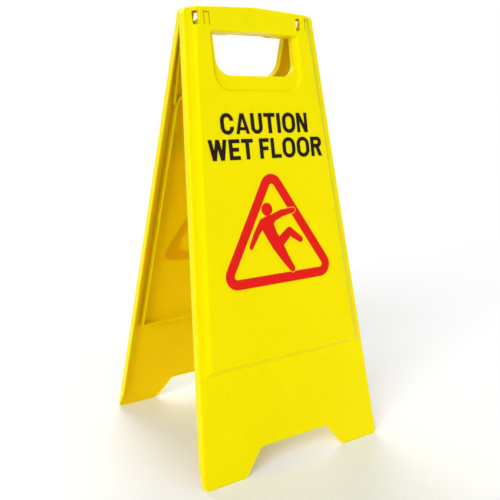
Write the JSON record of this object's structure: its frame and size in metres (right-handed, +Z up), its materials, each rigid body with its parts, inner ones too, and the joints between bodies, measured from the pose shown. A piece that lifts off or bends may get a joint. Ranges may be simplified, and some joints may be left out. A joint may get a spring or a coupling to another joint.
{
  "type": "wet floor sign",
  "caption": "Folding A-frame wet floor sign: two identical ribbed plastic panels hinged at the top, with a hand hole, foot notches and a printed warning.",
  "frame": {"origin": "on the floor, midway between the four feet of the open sign", "axes": "+Z up, +X along the width of the panels, to the right of someone who faces the front panel, and the front panel faces -Y"},
  "size_m": [0.298, 0.285, 0.61],
  "materials": {
    "yellow_plastic": "gloss",
    "black_ink": "satin",
    "red_ink": "satin"
  },
  "bodies": {
    "front_half": {"front_panel": "yellow_plastic", "front_caution_print": "black_ink", "front_wet_floor_print": "black_ink", "front_triangle_print": "red_ink", "front_figure_print": "red_ink"},
    "rear_half": {"rear_panel": "yellow_plastic", "rear_caution_print": "black_ink", "rear_wet_floor_print": "black_ink", "rear_triangle_print": "red_ink", "rear_figure_print": "red_ink"}
  },
  "joints": [
    {"name": "fold", "type": "hinge", "parent": "front_half", "child": "rear_half", "pos_m": [0, 0, 0.58297], "axis": [-1, 0, 0], "range_deg": [0, 25.1]}
  ]
}
